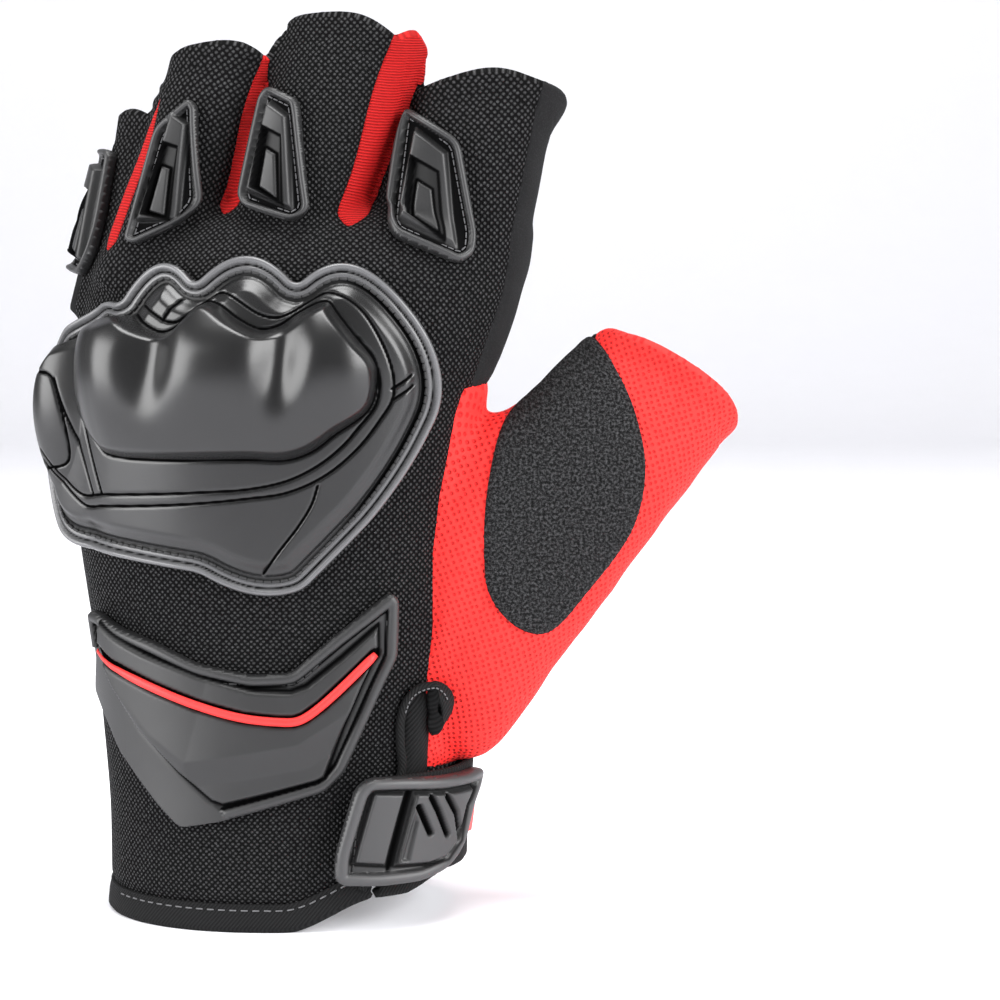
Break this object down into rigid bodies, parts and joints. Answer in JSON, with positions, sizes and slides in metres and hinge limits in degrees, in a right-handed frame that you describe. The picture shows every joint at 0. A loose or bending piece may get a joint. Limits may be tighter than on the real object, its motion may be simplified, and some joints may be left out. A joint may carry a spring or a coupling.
{
  "type": "riding glove",
  "caption": "Left-hand fingerless riding glove with moulded knuckle, finger and wrist guards, red mesh thumb, suede palm and a wrist strap.",
  "frame": {"origin": "centre of the cuff's opening, on the plane that the cuff stands on", "axes": "+Z from cuff to fingertips, +X towards the thumb, -Y out of the back of the hand"},
  "size_m": [0.1467, 0.0573, 0.1881],
  "materials": {
    "knit": "matt black knit mesh with a raised honeycomb texture",
    "mesh": "red air mesh with small dimples",
    "rib": "red ribbed side strip",
    "suede": "black synthetic suede",
    "moulded": "black moulded guard, satin to gloss",
    "rubber": "dark grey moulded rubber, satin",
    "tape": "black woven binding tape",
    "terry": "speckled dark grey looped terry",
    "foam": "soft closed-cell foam",
    "inlay": "red moulded inlay"
  },
  "bodies": {
    "hand": {"back_panel": "knit", "palm_panel": "suede", "thumb_gusset": "mesh", "knuckle_guard": "moulded", "knuckle_foam": "foam", "wrist_guard": "rubber", "wrist_guard_stripe": "inlay", "cuff_binding": "tape", "slit_binding": "tape", "pull_loop": "tape", "wrist_gusset": "knit", "loop_patch": "terry", "palm_pad_thumb": "foam", "palm_pad_heel": "foam", "palm_pad_outer": "foam"},
    "fingers": {"index_back": "knit", "middle_back": "knit", "ring_back": "knit", "little_back": "knit", "index_palm": "suede", "middle_palm": "suede", "ring_palm": "suede", "little_palm": "suede", "fourchette_index_middle": "rib", "fourchette_middle_ring": "rib", "fourchette_ring_little": "rib", "guard_index": "moulded", "guard_middle": "moulded", "guard_ring": "moulded", "guard_little": "moulded"},
    "thumb": {"thumb_back": "mesh", "thumb_palm": "suede", "thumb_terry_patch": "terry", "thumb_binding": "tape"},
    "strap": {"strap_band": "tape", "strap_face": "rubber", "strap_tag": "inlay"},
    "strap_end": {"strap_tab": "rubber", "hook_patch": "terry"}
  },
  "joints": [
    {"name": "finger_flex", "type": "hinge", "parent": "hand", "child": "fingers", "pos_m": [0, 0.009, 0.1365], "axis": [-0.9976, 0.0698, 0], "range_deg": [0, 50]},
    {"name": "thumb_swing", "type": "hinge", "parent": "hand", "child": "thumb", "pos_m": [0.043, 0.008, 0.07], "axis": [0, 0, 1], "range_deg": [0, 40]},
    {"name": "strap_open", "type": "hinge", "parent": "hand", "child": "strap", "pos_m": [0.0165, -0.0262, 0.021], "axis": [0, 0, -1], "range_deg": [0, 60]},
    {"name": "tab_peel", "type": "hinge", "parent": "strap", "child": "strap_end", "pos_m": [0.0415, 0.012, 0.021], "axis": [0, 0, -1], "range_deg": [0, 110]}
  ]
}
